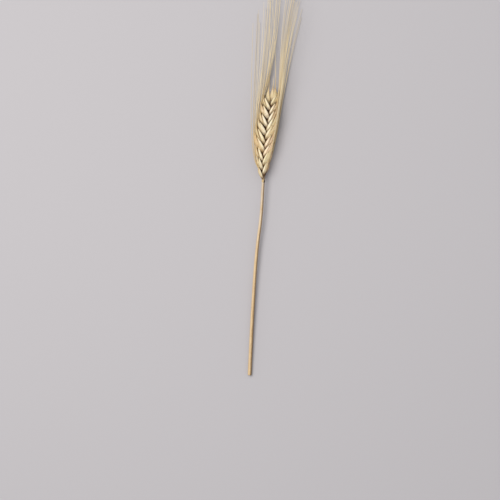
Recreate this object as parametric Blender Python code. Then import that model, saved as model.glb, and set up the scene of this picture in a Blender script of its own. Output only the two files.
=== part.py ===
"""Bearded wheat ear on its cut stalk, lying on its back.

The ear points along +Y and the stalk runs back along -Y. The side that shows
both rows of spikelets faces up, and the husks underneath rest on z = 0.
All sizes are in metres, with +Z up.
"""

import math
import random
from dataclasses import dataclass

import bmesh
import bpy
from mathutils import Vector

MM = 0.001

OBJECT_NAME = "wheat_ear"
CUTTER_COLLECTION = "cutters"

# Place of the ear's foot, chosen so that the whole object is centred over the origin.
EAR_FOOT = Vector((-1.644 * MM, -7.929 * MM, 5.35 * MM))
UP_EAR = Vector((0.0, 1.0, 0.0))
TO_THE_RIGHT = Vector((1.0, 0.0, 0.0))
TO_THE_TOP = Vector((0.0, 0.0, 1.0))

# The ear's axis: its length, its bow to the left at a third of its height, its lean to
# the right at the top, and how far it sinks towards its thinner top.
AXIS_LENGTH = 61.0 * MM
AXIS_BOW = 0.9 * MM
AXIS_LEAN = 1.4 * MM
AXIS_SINK = 1.2 * MM

# The core of axis and kernels that the husks stand out of.
CORE_RADIUS = 2.8 * MM
CORE_FOOT_RADIUS = 1.15 * MM
CORE_TOP_RADIUS = 1.3 * MM
CORE_WIDENS_BY = 0.09
CORE_NARROWS_FROM = 0.93
CORE_OVERRUN = 1.04
CORE_SIDES = 8
CORE_RINGS = 12

# Spikelets: one at each joint of the axis, left and right in turn, and one on top.
SPIKELETS = 18
FIRST_JOINT = 0.03
LAST_JOINT = 0.955
JOINT_OFFSET = 0.5 * MM
FULLEST_AT = 0.36
FOOT_SIZE = 0.7
TOP_SIZE = 0.74
SIZE_SWAY = 0.07
SIZE_SWAY_STEP = 2.4
TOP_JOINT = 0.975
TOP_SPIKELET_SIZE = 1.18
TOP_SPIKELET_LEAN = 0.5
TOP_SPIKELET_GIRTH = 0.82
SPIKELET_SEED = 2600

# How thick the husks are and how far they lean out: at the ear's foot, where it is
# fullest, and at its top.
GIRTH = (0.62, 1.0, 0.92)
LEFT_LEAN = (0.74, 1.1, 1.08)
RIGHT_LEAN = (0.34, 0.98, 0.96)

# Awns: three-sided, tapered, gathered in a wide left brush and a narrow right one.
AWN_SOCKET = 0.84
AWN_SIDES = 3
AWN_STRETCHES = 5
AWN_CROWDING = 1.4
AWN_RADIUS = 0.38 * MM
AWN_TIP_RADIUS = 0.18 * MM
AWN_RISE = 9.0 * MM
AWN_BEND_AT = 0.5
AWN_LENGTH_LOW = 114.0 * MM
AWN_LENGTH_HIGH = 90.0 * MM
AWN_LENGTH_SPREAD = 8.0 * MM
BRUSH_SPREAD = 1.6 * MM
UPPER_TIP_HEIGHT = (22.0 * MM, 12.0 * MM)
UPPER_TIP_LEAN = 2.2 * MM
TOP_TIP_LEAN = -6.5 * MM
LOWER_TIP_HEIGHT = (0.8 * MM, 2.6 * MM)

# Husks: the sides of each one, the thickness of its inner half against that of its back,
# how much wider it is low down, how much of that it loses towards its tip, and how far
# nature moves its tip, in mm.
HUSK_SIDES = 6
HUSK_INNER_HALF = 0.55
HUSK_LOW_GIRTH = 1.16
HUSK_GIRTH_LOST = 0.4
HUSK_UNEVENNESS = 0.35

# Stalk: its bends are pairs of distance below the ear and shift to the right, in mm.
STALK_GAP = 0.3 * MM
STALK_TOP_RADIUS = 1.1 * MM
STALK_END_RADIUS = 1.4 * MM
STALK_LENGTH = 150.0 * MM
STALK_POINTS = 26
STALK_BENDS = (
    (0.0, -0.1),
    (11.0, 0.1),
    (22.0, 0.3),
    (34.0, 0.0),
    (46.0, -0.7),
    (61.0, -1.1),
    (77.0, -1.1),
    (92.0, -0.85),
    (107.0, -0.6),
    (123.0, -0.2),
    (150.0, 0.6),
)


@dataclass(frozen=True)
class Brush:
    """Where one side's awns end, from its lowest to its top one, and how they bend outwards."""

    tips: tuple
    gathering: float
    spring: tuple
    clearance: tuple


LEFT_BRUSH = Brush(
    tips=(-22.3 * MM, -0.2 * MM),
    gathering=0.44,
    spring=(10.4 * MM, -4.0 * MM),
    clearance=(6.9 * MM, -7.8 * MM),
)
RIGHT_BRUSH = Brush(
    tips=(18.6 * MM, 7.3 * MM),
    gathering=1.4,
    spring=(3.8 * MM, -1.5 * MM),
    clearance=(-3.0 * MM, -4.5 * MM),
)


@dataclass(frozen=True)
class Husk:
    """A husk's run as (outward, upward, sideways) spots in mm, its size and where its back faces."""

    root: tuple
    bend: tuple
    tip: tuple
    width: float
    depth: float
    facing: tuple
    bands: int


GLUME = Husk(
    root=(-0.4, -0.6, 1.7),
    bend=(2.3, 3.4, 4.5),
    tip=(4.3, 9.7, 4.2),
    width=4.5,
    depth=2.8,
    facing=(0.45, 0.0, 0.9),
    bands=5,
)
LEMMA = Husk(
    root=(0.6, 0.8, 1.0),
    bend=(5.0, 4.6, 3.6),
    tip=(6.6, 12.9, 3.2),
    width=4.8,
    depth=3.4,
    facing=(0.85, 0.0, 0.5),
    bands=4,
)
MIDDLE_FLORET = Husk(
    root=(0.5, 2.6, 0.0),
    bend=(5.4, 6.6, 0.5),
    tip=(6.6, 13.6, 0.5),
    width=4.4,
    depth=3.2,
    facing=(1.0, 0.0, 0.1),
    bands=4,
)


@dataclass
class Spikelet:
    """Where one spikelet grows, the way it leans and how large it is."""

    base: Vector
    outward: Vector
    sideways: Vector
    size: float
    girth: float
    lean: float
    share: float
    draw: random.Random

    def place(self, spot, hand):
        """Turn an (outward, upward, sideways) spot in mm into a place in the model."""
        out, up, side = (value * MM * self.size for value in spot)
        across = self.outward * out * self.lean + self.sideways * side * hand
        return self.base + across + UP_EAR * up

    def direction(self, spot, hand):
        """Turn an (outward, upward, sideways) direction into one of the model."""
        out, up, side = spot
        return self.outward * out + UP_EAR * up + self.sideways * side * hand


def between(low, high, share):
    """Return the value that lies at a share of the way from low to high."""
    return low + (high - low) * share


def axis_point(share):
    """Return the axis's place, from the ear's foot at 0 to its last joint at 1."""
    bow = 27 / 4 * share * (1 - share) ** 2
    sideways = AXIS_LEAN * share**2 - AXIS_BOW * bow
    return EAR_FOOT + Vector((sideways, AXIS_LENGTH * share, -AXIS_SINK * share**2))


def spikelet_size(share):
    """Return how large a spikelet is, small at the foot and smaller again at the top."""
    if share < FULLEST_AT:
        return 1 - (1 - FOOT_SIZE) * (1 - share / FULLEST_AT) ** 2
    return 1 - (1 - TOP_SIZE) * ((share - FULLEST_AT) / (1 - FULLEST_AT)) ** 1.5


def along_ear(values, share):
    """Return a value that is given at the ear's foot, where it is fullest and at its top."""
    foot, fullest, top = values
    if share < FULLEST_AT:
        return between(foot, fullest, share / FULLEST_AT)
    return between(fullest, top, (share - FULLEST_AT) / (1 - FULLEST_AT))


def curve_point(points, share):
    """Return the place at a share of the Bezier curve through its control points."""
    while len(points) > 1:
        points = [a.lerp(b, share) for a, b in zip(points, points[1:])]
    return points[0]


def curve_heading(points, share):
    """Return the unit direction of the Bezier curve at a share of its length."""
    step = 0.01
    before = curve_point(points, max(0.0, share - step))
    after = curve_point(points, min(1.0, share + step))
    return (after - before).normalized()


def mesh_object(name, mesh_data):
    """Turn a bmesh into an object of the scene."""
    mesh = bpy.data.meshes.new(name)
    mesh_data.normal_update()
    bmesh.ops.recalc_face_normals(mesh_data, faces=mesh_data.faces)
    mesh_data.to_mesh(mesh)
    mesh_data.free()
    made = bpy.data.objects.new(name, mesh)
    bpy.context.scene.collection.objects.link(made)
    return made


def long_rod(sides, stretches):
    """Return an upright rod of unit size, divided into stretches along its length."""
    rod = bmesh.new()
    bmesh.ops.create_cone(
        rod, cap_ends=True, segments=sides, radius1=1.0, radius2=1.0, depth=1.0
    )
    upright = [edge for edge in rod.edges if abs(edge.verts[0].co.z - edge.verts[1].co.z) > 0.5]
    bmesh.ops.subdivide_edges(rod, edges=upright, cuts=stretches - 1)
    return rod


def grow_husk(husk, spikelet, hand, run):
    """Bend a sphere into a husk: wide low down, keeled on its back and pointed at its tip."""
    sphere = bmesh.new()
    bmesh.ops.create_uvsphere(
        sphere, u_segments=HUSK_SIDES, v_segments=husk.bands, radius=MM / 2
    )
    keel_turn = math.pi / HUSK_SIDES
    facing = spikelet.direction(husk.facing, hand)
    for vertex in sphere.verts:
        around = math.atan2(vertex.co.y, vertex.co.x) + keel_turn
        share = vertex.co.z / MM + 0.5
        girth = math.hypot(vertex.co.x, vertex.co.y) * spikelet.size * spikelet.girth
        girth *= HUSK_LOW_GIRTH - HUSK_GIRTH_LOST * share
        wide = math.cos(around) * girth * husk.width
        deep = math.sin(around) * girth * husk.depth
        deep *= 1.0 if deep > 0 else HUSK_INNER_HALF
        heading = curve_heading(run, share)
        across = heading.cross(facing).normalized()
        back = across.cross(heading)
        vertex.co = curve_point(run, share) + across * wide + back * deep
    return mesh_object("husk", sphere)


def husk_run(husk, spikelet, hand):
    """Return the three control points of a husk, with a little of nature's unevenness."""
    uneven = HUSK_UNEVENNESS
    tip = [value + spikelet.draw.uniform(-uneven, uneven) for value in husk.tip]
    spots = (husk.root, husk.bend, tip)
    return [spikelet.place(spot, hand) for spot in spots]


def awn_tip(spikelet, brush, towards, start):
    """Return where an awn of a brush ends: the lowest spikelets reach furthest out."""
    draw = spikelet.draw
    height = UPPER_TIP_HEIGHT if towards.z > 0 else LOWER_TIP_HEIGHT
    length = between(AWN_LENGTH_LOW, AWN_LENGTH_HIGH, spikelet.share)
    length += draw.uniform(-AWN_LENGTH_SPREAD, AWN_LENGTH_SPREAD)
    sideways = between(*brush.tips, spikelet.share**brush.gathering)
    sideways += draw.uniform(-BRUSH_SPREAD, BRUSH_SPREAD)
    lean = UPPER_TIP_LEAN if spikelet.share < 1 else TOP_TIP_LEAN
    sideways += lean * max(towards.z, 0)
    rise = between(height[0], height[1], spikelet.share) * draw.uniform(0.85, 1.15)
    return Vector((EAR_FOOT.x + sideways, start.y + length, rise))


def grow_awn(spikelet, hand, lemma_run):
    """Taper and bend a three-sided rod into the awn that a lemma ends in."""
    root = curve_point(lemma_run, AWN_SOCKET)
    towards = spikelet.outward + spikelet.sideways * hand
    brush = RIGHT_BRUSH if towards.x > 0 and spikelet.share < 1 else LEFT_BRUSH
    tip = awn_tip(spikelet, brush, towards, root)
    heading = curve_heading(lemma_run, AWN_SOCKET)
    gathered = spikelet.share**brush.gathering
    rise = heading * AWN_RISE + spikelet.outward * between(*brush.spring, gathered)
    clear = spikelet.outward * between(*brush.clearance, gathered)
    run = [root, root + rise, root.lerp(tip, AWN_BEND_AT) + clear, tip]
    rod = long_rod(AWN_SIDES, AWN_STRETCHES)
    for vertex in rod.verts:
        share = max(0.0, vertex.co.z + 0.5) ** AWN_CROWDING
        heading = curve_heading(run, share)
        across = heading.cross(TO_THE_TOP).normalized()
        back = across.cross(heading)
        radius = between(AWN_RADIUS, AWN_TIP_RADIUS, share)
        sideways = across * vertex.co.x + back * vertex.co.y
        vertex.co = curve_point(run, share) + sideways * radius
    return mesh_object("awn", rod)


def core_radius(share):
    """Return the core's radius: thin at the ear's foot, full, and thin again at its top."""
    share = min(share, 1.0)
    full = CORE_RADIUS * spikelet_size(share) * along_ear(GIRTH, share)
    widening = min(1.0, share / CORE_WIDENS_BY)
    narrowing = max(0.0, (share - CORE_NARROWS_FROM) / (CORE_OVERRUN - CORE_NARROWS_FROM))
    return between(between(CORE_FOOT_RADIUS, full, widening), CORE_TOP_RADIUS, narrowing)


def grow_core():
    """Bend and taper a rod into the core that runs the length of the ear."""
    rod = long_rod(CORE_SIDES, CORE_RINGS)
    for vertex in rod.verts:
        share = (vertex.co.z + 0.5) * CORE_OVERRUN
        sideways = TO_THE_RIGHT * vertex.co.x + TO_THE_TOP * vertex.co.y
        vertex.co = axis_point(share) + sideways * core_radius(share)
    return mesh_object("ear", rod)


def side_spikelet(index):
    """Return the spikelet of one joint of the axis, on its left or its right side."""
    share = between(FIRST_JOINT, LAST_JOINT, index / (SPIKELETS - 1))
    outward = TO_THE_RIGHT * (1 if index % 2 else -1)
    return Spikelet(
        base=axis_point(share) + outward * JOINT_OFFSET,
        outward=outward,
        sideways=TO_THE_TOP,
        size=spikelet_size(share) * (1 + SIZE_SWAY * math.sin(SIZE_SWAY_STEP * index)),
        girth=along_ear(GIRTH, share),
        lean=along_ear(RIGHT_LEAN if index % 2 else LEFT_LEAN, share),
        share=share,
        draw=random.Random(SPIKELET_SEED + index),
    )


def top_spikelet():
    """Return the last spikelet, which stands across the others."""
    return Spikelet(
        base=axis_point(TOP_JOINT),
        outward=TO_THE_TOP,
        sideways=TO_THE_RIGHT,
        size=spikelet_size(1.0) * TOP_SPIKELET_SIZE,
        girth=TOP_SPIKELET_GIRTH,
        lean=TOP_SPIKELET_LEAN,
        share=1.0,
        draw=random.Random(SPIKELET_SEED + SPIKELETS),
    )


def grow_spikelet(spikelet):
    """Grow the husks and awns of one spikelet."""
    pieces = []
    for hand in (1, -1):
        pieces.append(grow_husk(GLUME, spikelet, hand, husk_run(GLUME, spikelet, hand)))
        lemma_run = husk_run(LEMMA, spikelet, hand)
        pieces.append(grow_husk(LEMMA, spikelet, hand, lemma_run))
        pieces.append(grow_awn(spikelet, hand, lemma_run))
    hand = spikelet.draw.choice((1, -1))
    pieces.append(grow_husk(MIDDLE_FLORET, spikelet, hand, husk_run(MIDDLE_FLORET, spikelet, hand)))
    return pieces


def fuse(body, pieces):
    """Join the pieces to the body in one solid."""
    joined = bpy.data.collections.new("joined")
    bpy.context.scene.collection.children.link(joined)
    for piece in pieces:
        bpy.context.scene.collection.objects.unlink(piece)
        joined.objects.link(piece)
    union = body.modifiers.new("union", "BOOLEAN")
    union.operation = "UNION"
    union.operand_type = "COLLECTION"
    union.collection = joined
    union.solver = "MANIFOLD"
    apply_modifiers(body)
    for piece in pieces:
        bpy.data.objects.remove(piece)
    bpy.data.collections.remove(joined)


def apply_modifiers(body):
    """Give an object the mesh that its modifiers make."""
    bpy.context.view_layer.update()
    evaluated = body.evaluated_get(bpy.context.evaluated_depsgraph_get())
    mesh = bpy.data.meshes.new_from_object(evaluated)
    body.modifiers.clear()
    body.data = mesh


def keep_outer_skin(body):
    """Drop the sealed hollows and loose scraps that fusing leaves."""
    mesh_data = bmesh.new()
    mesh_data.from_mesh(body.data)
    unseen = set(mesh_data.faces)
    skins = []
    while unseen:
        first = unseen.pop()
        skin, border = {first}, [first]
        while border:
            face = border.pop()
            for edge in face.edges:
                for neighbour in edge.link_faces:
                    if neighbour in unseen:
                        unseen.discard(neighbour)
                        skin.add(neighbour)
                        border.append(neighbour)
        skins.append(skin)
    largest = max(skins, key=len)
    for skin in skins:
        if skin is not largest:
            bmesh.ops.delete(mesh_data, geom=list(skin), context="FACES")
    bmesh.ops.triangulate(mesh_data, faces=mesh_data.faces)
    mesh_data.to_mesh(body.data)
    mesh_data.free()


def rest_on_surface(body, cutters):
    """Cut the lowest husks flat where the ear rests."""
    reach = 400.0 * MM
    box = bmesh.new()
    bmesh.ops.create_cube(box, size=1.0)
    bmesh.ops.scale(box, vec=(reach, reach, reach), verts=box.verts)
    bmesh.ops.translate(box, vec=(0.0, 0.0, -reach / 2), verts=box.verts)
    surface = mesh_object("resting_surface", box)
    bpy.context.scene.collection.objects.unlink(surface)
    cutters.objects.link(surface)
    surface.hide_render = True
    surface.display_type = "WIRE"
    cut = body.modifiers.new("flat_belly", "BOOLEAN")
    cut.operation = "DIFFERENCE"
    cut.object = surface
    cut.solver = "EXACT"


def smooth_bends(bends, distance):
    """Return the stalk's shift at a distance below the ear, smoothly through its bends."""
    for start in range(len(bends) - 1):
        if distance <= bends[start + 1][0] or start == len(bends) - 2:
            break
    before = bends[max(start - 1, 0)]
    here, there = bends[start], bends[start + 1]
    after = bends[min(start + 2, len(bends) - 1)]
    span = there[0] - here[0]
    share = (distance - here[0]) / span
    slope_here = (there[1] - before[1]) / (there[0] - before[0]) * span
    slope_there = (after[1] - here[1]) / (after[0] - here[0]) * span
    cube, square = share**3, share**2
    return (
        (2 * cube - 3 * square + 1) * here[1]
        + (cube - 2 * square + share) * slope_here
        + (3 * square - 2 * cube) * there[1]
        + (cube - square) * slope_there
    )


def stalk_point(share):
    """Return the stalk's centre at a share of its length, from the ear to the cut end."""
    distance = STALK_LENGTH * share
    shift = smooth_bends(STALK_BENDS, distance / MM) * MM
    height = between(EAR_FOOT.z, STALK_END_RADIUS, share)
    return Vector((EAR_FOOT.x + shift, EAR_FOOT.y - STALK_GAP - distance, height))


def make_stalk():
    """Draw the stalk as one tube that thickens towards its cut end."""
    curve = bpy.data.curves.new("stem", "CURVE")
    curve.dimensions = "3D"
    curve.bevel_depth = 1.0
    curve.bevel_resolution = 2
    curve.use_fill_caps = True
    line = curve.splines.new("POLY")
    line.points.add(STALK_POINTS - 1)
    for index, point in enumerate(line.points):
        share = index / (STALK_POINTS - 1)
        point.co = (*stalk_point(share), 1.0)
        point.radius = between(STALK_TOP_RADIUS, STALK_END_RADIUS, share)
    stalk = bpy.data.objects.new("stem", curve)
    bpy.context.scene.collection.objects.link(stalk)
    return stalk


def straw_material(name, colour, roughness):
    """Return a dry, matt plant material."""
    material = bpy.data.materials.new(name)
    material.use_nodes = True
    shader = material.node_tree.nodes["Principled BSDF"]
    shader.inputs["Base Color"].default_value = (*colour, 1.0)
    shader.inputs["Roughness"].default_value = roughness
    shader.inputs["Metallic"].default_value = 0.0
    return material


def make_ear(cutters):
    """Grow the ear's axis, spikelets and awns, and fuse them in one solid."""
    ear = grow_core()
    spikelets = [side_spikelet(index) for index in range(SPIKELETS)]
    spikelets.append(top_spikelet())
    pieces = [piece for spikelet in spikelets for piece in grow_spikelet(spikelet)]
    fuse(ear, pieces)
    keep_outer_skin(ear)
    rest_on_surface(ear, cutters)
    return ear


def main():
    """Empty the scene and build the ear and its stalk."""
    for old in list(bpy.data.objects):
        bpy.data.objects.remove(old)
    parts = bpy.data.collections.new(OBJECT_NAME)
    cutters = bpy.data.collections.new(CUTTER_COLLECTION)
    for collection in (parts, cutters):
        bpy.context.scene.collection.children.link(collection)
    ear = make_ear(cutters)
    stalk = make_stalk()
    ear.data.materials.append(straw_material("husk_straw", (0.62, 0.47, 0.27), 0.6))
    stalk.data.materials.append(straw_material("stem_straw", (0.66, 0.45, 0.24), 0.45))
    for made in (ear, stalk):
        bpy.context.scene.collection.objects.unlink(made)
        parts.objects.link(made)


main()
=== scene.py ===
"""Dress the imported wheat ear: husks, awns, axis and stalk, on a pale floor in soft light.

The ear lies on its back along +Y and its stalk runs back along -Y. The husks and awns grow
by the same rule as the solids do, so every finer piece stands where its solid form stands.
Sizes in the classes are in millimetres, and everything that is built is in metres. A share
runs from 0 at the root of something to 1 at its end.
"""

from __future__ import annotations

import logging
import math
import random
from dataclasses import dataclass
from enum import Enum
from typing import Any, Sequence

import bmesh
import bpy
from mathutils import Matrix, Vector

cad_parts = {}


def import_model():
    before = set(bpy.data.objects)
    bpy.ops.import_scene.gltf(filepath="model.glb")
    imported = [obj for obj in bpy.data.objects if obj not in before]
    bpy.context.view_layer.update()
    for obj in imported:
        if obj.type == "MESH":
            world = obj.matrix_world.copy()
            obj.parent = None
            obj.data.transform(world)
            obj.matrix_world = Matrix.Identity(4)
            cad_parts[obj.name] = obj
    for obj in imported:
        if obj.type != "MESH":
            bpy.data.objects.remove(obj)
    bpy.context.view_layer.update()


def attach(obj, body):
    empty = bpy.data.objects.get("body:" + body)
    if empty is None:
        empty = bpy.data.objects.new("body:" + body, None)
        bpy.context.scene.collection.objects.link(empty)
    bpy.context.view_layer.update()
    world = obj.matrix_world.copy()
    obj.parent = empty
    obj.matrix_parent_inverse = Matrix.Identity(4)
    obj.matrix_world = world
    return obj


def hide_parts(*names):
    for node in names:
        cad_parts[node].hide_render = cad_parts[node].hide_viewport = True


MM = 0.001
BODY = "root"
EAR_NODE = "ear"
STEM_NODE = "stem"

UP_EAR = Vector((0.0, 1.0, 0.0))
TO_THE_RIGHT = Vector((1.0, 0.0, 0.0))
TO_THE_TOP = Vector((0.0, 0.0, 1.0))

# The attributes that the finishes read, and the tint of a piece that has no tint of its own.
ALONG = "along"
AROUND = "around"
TINT = "tint"
EVEN_TINT = 0.5

# How far apart two shares are whose places give a heading.
HEADING_STEP = 0.01
# How near a cutting plane a vertex of a unit shape counts as lying on it.
CUT_DISTANCE = 1e-6
# share * (1 - share) ** 2 is 4 / 27 at its highest, so this makes its highest value one.
BOW_SCALE = 27 / 4

LOG = logging.getLogger("wheat_ear")

Spot = tuple[float, float, float]
Band = tuple[float, float]


class Hand(Enum):
    """The two halves of a spikelet, mirrored across the ear's middle plane."""

    NEAR = 1
    FAR = -1


class Bract(Enum):
    """The kinds of husk in a spikelet, each with the name of its piece."""

    GLUME = "glumes"
    LEMMA = "lemmas"
    MIDDLE = "middle_florets"


def between(low: float, high: float, share: float) -> float:
    """Return the value that lies at a share of the way from low to high."""
    return low + (high - low) * share


def linear(hex_colour: str) -> tuple[float, float, float, float]:
    """Turn an sRGB hex colour into linear light.

    Args:
        hex_colour: The colour as "#rrggbb".

    Returns:
        Red, green, blue and an alpha of one.
    """
    channels = [int(hex_colour[start : start + 2], 16) / 255 for start in (1, 3, 5)]
    light = [c / 12.92 if c <= 0.04045 else ((c + 0.055) / 1.055) ** 2.4 for c in channels]
    return (light[0], light[1], light[2], 1.0)


def bezier_point(points: Sequence[Vector], share: float) -> Vector:
    """Find a place on a Bezier curve.

    Args:
        points: The curve's control points.
        share: The share of the curve.

    Returns:
        The place at that share.
    """
    left = list(points)
    while len(left) > 1:
        left = [a.lerp(b, share) for a, b in zip(left, left[1:])]
    return left[0]


def bezier_heading(points: Sequence[Vector], share: float) -> Vector:
    """Find which way a Bezier curve runs.

    Args:
        points: The curve's control points.
        share: The share of the curve.

    Returns:
        The curve's unit direction at that share.
    """
    before = bezier_point(points, max(0.0, share - HEADING_STEP))
    after = bezier_point(points, min(1.0, share + HEADING_STEP))
    return (after - before).normalized()


def square_to(heading: Vector) -> tuple[Vector, Vector]:
    """Return the two unit directions square to a heading, the first of them level."""
    across = heading.cross(TO_THE_TOP).normalized()
    return across, heading.cross(across)


def new_shape() -> bmesh.types.BMesh:
    """Make a bmesh with the layers that the finishes read.

    Returns:
        The empty bmesh.
    """
    shape = bmesh.new()
    for name in (ALONG, AROUND, TINT):
        shape.verts.layers.float.new(name)
    return shape


def mark(
    shape: bmesh.types.BMesh,
    vertex: bmesh.types.BMVert,
    along: float,
    around: float = 0.0,
    tint: float = EVEN_TINT,
) -> None:
    """Write on a vertex where it is on its piece, and its piece's own tint.

    Args:
        shape: The bmesh that the vertex belongs to.
        vertex: The vertex.
        along: The share of the piece's length, from its root.
        around: The turn from the middle of its back, from -1 to 1.
        tint: The piece's own value from 0 to 1.
    """
    layers = shape.verts.layers.float
    vertex[layers[ALONG]] = along
    vertex[layers[AROUND]] = around
    vertex[layers[TINT]] = tint


def join(body: bmesh.types.BMesh, part: bmesh.types.BMesh) -> None:
    """Add a finished part to the body it belongs to.

    Args:
        body: The bmesh that grows.
        part: The bmesh to add, which is freed.
    """
    mesh = bpy.data.meshes.new("part")
    part.to_mesh(mesh)
    part.free()
    body.from_mesh(mesh)
    bpy.data.meshes.remove(mesh)


def long_rod(shape: bmesh.types.BMesh, sides: int, stretches: int) -> None:
    """Make an upright rod of unit radius and length in an empty bmesh.

    Args:
        shape: The bmesh to build in.
        sides: The number of sides around.
        stretches: The number of stretches along.
    """
    bmesh.ops.create_cone(shape, cap_ends=True, segments=sides, radius1=1.0, radius2=1.0, depth=1.0)
    upright = [e for e in shape.edges if abs(e.verts[0].co.z - e.verts[1].co.z) > 0.5]
    bmesh.ops.subdivide_edges(shape, edges=upright, cuts=stretches - 1)


def make_object(name: str, shape: bmesh.types.BMesh, material: bpy.types.Material) -> bpy.types.Object:
    """Turn a bmesh into a smooth object of the scene, with its place in its mesh.

    Args:
        name: The piece's name.
        shape: The finished bmesh, which is freed.
        material: The piece's finish.

    Returns:
        The new object, which sits untransformed at the origin.
    """
    mesh = bpy.data.meshes.new(name)
    shape.normal_update()
    shape.to_mesh(mesh)
    shape.free()
    mesh.shade_smooth()
    mesh.materials.append(material)
    made = bpy.data.objects.new(name, mesh)
    bpy.context.scene.collection.objects.link(made)
    triangles = sum(len(face.vertices) - 2 for face in mesh.polygons)
    LOG.info("built %s with %d triangles", name, triangles)
    return made


def add_node(
    tree: bpy.types.NodeTree,
    kind: str,
    inputs: dict[str | int, Any] | None = None,
    output: str | int = 0,
    **settings: Any,
) -> bpy.types.NodeSocket:
    """Add a node with its settings and its links.

    Args:
        tree: The node tree to add to.
        kind: The node's type name, after "ShaderNode".
        inputs: A value, or a socket to link from, for each input by name or number.
        output: The output to go on from, by name or number.
        **settings: The node's own properties.

    Returns:
        The socket of that output.
    """
    node = tree.nodes.new("ShaderNode" + kind)
    for key, value in settings.items():
        setattr(node, key, value)
    for key, value in (inputs or {}).items():
        if isinstance(value, bpy.types.NodeSocket):
            tree.links.new(value, node.inputs[key])
        else:
            node.inputs[key].default_value = value
    return node.outputs[output]


@dataclass(frozen=True)
class Tone:
    """A colour that comes in over what lies below it, as the value that it follows changes.

    It comes in from start and is there in full, or as far as most says, from full on. What
    holds it back is a share that it is multiplied by.
    """

    follows: bpy.types.NodeSocket
    start: float
    full: float
    colour: str
    most: float = 1.0
    held_back: bpy.types.NodeSocket | None = None


def lay_tones(tree: bpy.types.NodeTree, ground: str, tones: Sequence[Tone]) -> bpy.types.NodeSocket:
    """Lay tones over a ground colour, each over the last.

    Args:
        tree: The node tree to add to.
        ground: The ground colour as "#rrggbb".
        tones: The tones, the lowest first.

    Returns:
        The socket that gives the finished colour.
    """
    colour: Any = linear(ground)
    for tone in tones:
        band = {"From Min": tone.start, "From Max": tone.full, "To Max": tone.most}
        share = add_node(tree, "MapRange", {"Value": tone.follows, **band})
        if tone.held_back is not None:
            share = add_node(tree, "Math", {0: share, 1: tone.held_back}, operation="MULTIPLY")
        over = linear(tone.colour)
        colour = add_node(tree, "Mix", {0: share, 6: colour, 7: over}, output=2, data_type="RGBA")
    return colour


def new_material(name: str) -> tuple[bpy.types.Material, bpy.types.NodeTree, bpy.types.Node]:
    """Make a material.

    Args:
        name: The material's name.

    Returns:
        The material, its node tree and its Principled shader.
    """
    material = bpy.data.materials.new(name)
    material.use_nodes = True
    tree = material.node_tree
    return material, tree, tree.nodes["Principled BSDF"]


@dataclass(frozen=True)
class BractShape:
    """One kind of husk: its run as (outward, upward, sideways) spots, its size and its make.

    The keel is a ridge along the back, the roof says how nearly the back is two flat slopes
    that meet in it, and the opening is where a husk that is open behind is cut off.
    """

    root: Spot
    bend: Spot
    tip: Spot
    width: float
    depth: float
    facing: Spot
    keel: float
    keel_at: float
    roof: float
    beak: float
    opening: float | None
    wall: float = 0.16
    sides: int = 32
    bands: int = 22


BRACT_SHAPES = {
    Bract.GLUME: BractShape(
        root=(-0.4, -0.6, 1.7),
        bend=(2.3, 3.4, 4.5),
        tip=(4.3, 9.7, 4.2),
        width=4.5,
        depth=2.8,
        facing=(0.45, 0.0, 0.9),
        keel=0.16,
        keel_at=-0.15,
        roof=0.8,
        beak=1.1,
        opening=-0.22,
    ),
    Bract.LEMMA: BractShape(
        root=(0.6, 0.8, 1.0),
        bend=(5.0, 4.6, 3.6),
        tip=(6.6, 12.9, 3.2),
        width=4.8,
        depth=3.4,
        facing=(0.85, 0.0, 0.5),
        keel=0.08,
        keel_at=0.0,
        roof=0.2,
        beak=1.6,
        opening=None,
    ),
    Bract.MIDDLE: BractShape(
        root=(0.5, 2.6, 0.0),
        bend=(5.4, 6.6, 0.5),
        tip=(6.6, 13.6, 0.5),
        width=4.4,
        depth=3.2,
        facing=(1.0, 0.0, 0.1),
        keel=0.05,
        keel_at=0.0,
        roof=0.1,
        beak=1.3,
        opening=None,
    ),
}


@dataclass
class Spikelet:
    """Where one spikelet grows, the way it leans and how large it is."""

    base: Vector
    outward: Vector
    sideways: Vector
    size: float
    girth: float
    lean: float
    share: float
    draw: random.Random

    def place(self, spot: Spot, hand: Hand) -> Vector:
        """Find a place of the spikelet.

        Args:
            spot: How far it is outward, upward and sideways of the base.
            hand: The half of the spikelet that it is on.

        Returns:
            The place in the model, in metres.
        """
        out, up, side = (value * MM * self.size for value in spot)
        across = self.outward * out * self.lean + self.sideways * side * hand.value
        return self.base + across + UP_EAR * up

    def direction(self, spot: Spot, hand: Hand) -> Vector:
        """Turn an (outward, upward, sideways) direction into one of the model."""
        out, up, side = spot
        return self.outward * out + UP_EAR * up + self.sideways * side * hand.value


@dataclass(frozen=True)
class GrownBract:
    """One husk of the ear: its kind, its spikelet, the half it is on and its run."""

    kind: Bract
    spikelet: Spikelet
    hand: Hand
    run: list[Vector]


@dataclass(frozen=True)
class GrownAwn:
    """One awn of the ear: its run and how thick it is."""

    run: list[Vector]
    thickness: float = 1.0


@dataclass(frozen=True)
class Brush:
    """How one side's awns run, each value from that of its lowest awn to that of its top one.

    Tips is how far right of the ear's foot they end, spring how far out of their own way they
    start, and clearance how far out they bend half way. Gathering says how late, up the ear,
    they come to the top one's values.
    """

    tips: Band
    gathering: float
    spring: Band
    clearance: Band


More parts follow.
